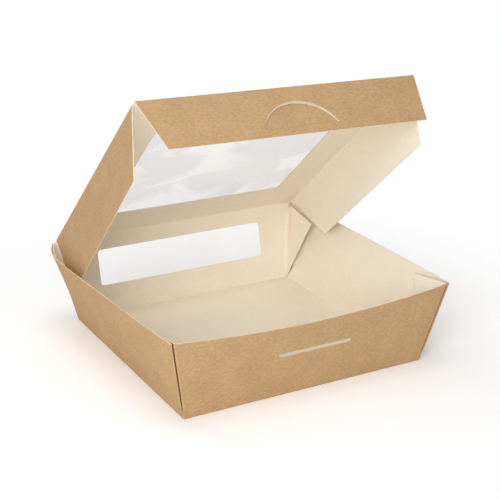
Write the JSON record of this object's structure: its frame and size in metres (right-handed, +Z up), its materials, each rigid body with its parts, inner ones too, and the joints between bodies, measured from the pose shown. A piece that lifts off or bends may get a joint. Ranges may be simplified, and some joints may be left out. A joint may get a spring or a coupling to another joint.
{
  "type": "takeaway box",
  "caption": "Square kraft card takeaway box with flared walls and webbed corners, hinged lid with flaps and lock tab, and film windows in lid and back wall.",
  "frame": {"origin": "centre of the underside of the base", "axes": "+X right along the front wall, +Y towards the back wall that carries the lid, +Z up"},
  "size_m": [0.1803, 0.1701, 0.1592],
  "materials": {
    "kraft_card": "uncoated kraft outside, cream coating inside",
    "clear_film": "clear gloss film"
  },
  "bodies": {
    "tray": {"tray": "kraft_card", "back_window_film": "clear_film"},
    "lid": {"lid_panel": "kraft_card", "lid_window_film": "clear_film"},
    "left_flap": {"lid_left_flap": "kraft_card"},
    "right_flap": {"lid_right_flap": "kraft_card"},
    "front_flap": {"lid_front_flap": "kraft_card"},
    "lock": {"lock_tab": "kraft_card"}
  },
  "joints": [
    {"name": "lid_hinge", "type": "hinge", "parent": "tray", "child": "lid", "pos_m": [0, 0.08499, 0.04963], "axis": [-1, 0, 0], "range_deg": [-40, 130]},
    {"name": "left_flap_fold", "type": "hinge", "parent": "lid", "child": "left_flap", "pos_m": [-0.08332, 0.01955, 0.10454], "axis": [0, 0.766, -0.6428], "range_deg": [-27, 86]},
    {"name": "right_flap_fold", "type": "hinge", "parent": "lid", "child": "right_flap", "pos_m": [0.08332, 0.01955, 0.10454], "axis": [0, -0.766, 0.6428], "range_deg": [-5, 15]},
    {"name": "front_flap_fold", "type": "hinge", "parent": "lid", "child": "front_flap", "pos_m": [0, -0.04589, 0.15944], "axis": [-1, 0, 0], "range_deg": [-20, 80]},
    {"name": "lock_tab_fold", "type": "hinge", "parent": "front_flap", "child": "lock", "pos_m": [0.0012, -0.06381, 0.1444], "axis": [-1, 0, 0], "range_deg": [-5, 85]}
  ],
  "couplings": [
    {"joint": "left_flap_fold", "follows": "lid_hinge", "ratio": 0.66},
    {"joint": "right_flap_fold", "follows": "lid_hinge", "ratio": 0.11}
  ]
}
